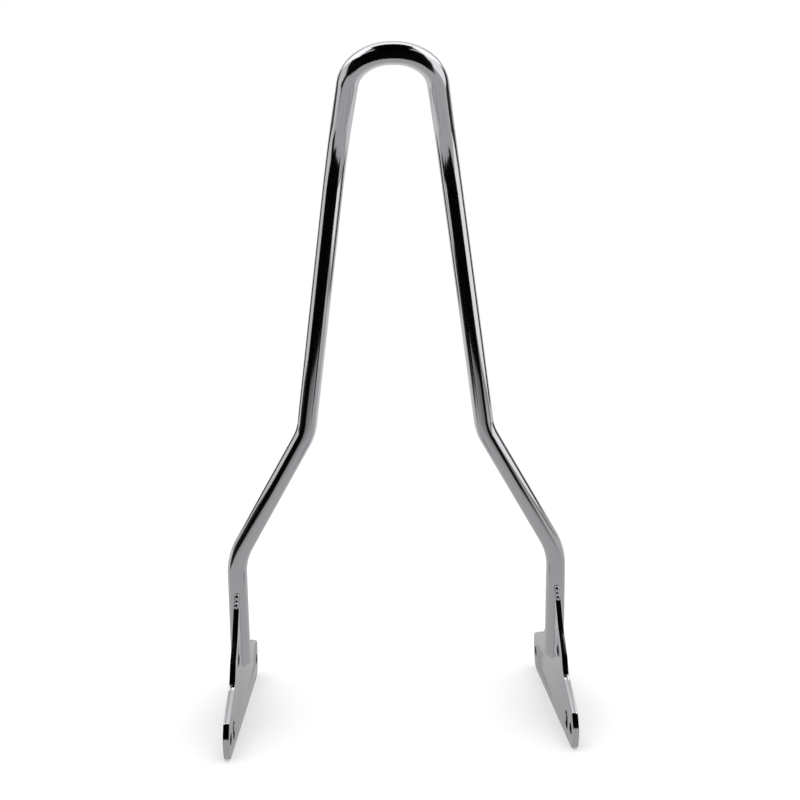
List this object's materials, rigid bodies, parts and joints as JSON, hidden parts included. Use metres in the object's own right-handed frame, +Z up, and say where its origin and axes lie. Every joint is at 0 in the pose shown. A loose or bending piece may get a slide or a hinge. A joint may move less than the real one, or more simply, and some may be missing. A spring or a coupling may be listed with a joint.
{
  "type": "sissy bar",
  "caption": "Chromed sissy bar: a bent round bar with a kicked-back crown, welded over slotted flat side plates with bolt holes.",
  "frame": {"origin": "midway between the two side plates, on the axis through their front bolt holes", "axes": "+X across the bike to its right, +Y to the front of the bike, +Z up; the plates' straight bottom edges lie level, 16.4 mm below the origin"},
  "size_m": [0.2824, 0.2292, 0.5291],
  "materials": {
    "bar_chrome": "mirror-polished chrome",
    "plate_chrome": "polished chrome on sheared and dressed flat plate",
    "weld_chrome": "chrome over a rippled weld"
  },
  "bodies": {
    "root": {"hoop_bar": "bar_chrome", "left_side_plate": "plate_chrome", "right_side_plate": "plate_chrome", "left_rear_weld": "weld_chrome", "right_rear_weld": "weld_chrome", "left_front_weld": "weld_chrome", "right_front_weld": "weld_chrome"}
  },
  "joints": []
}
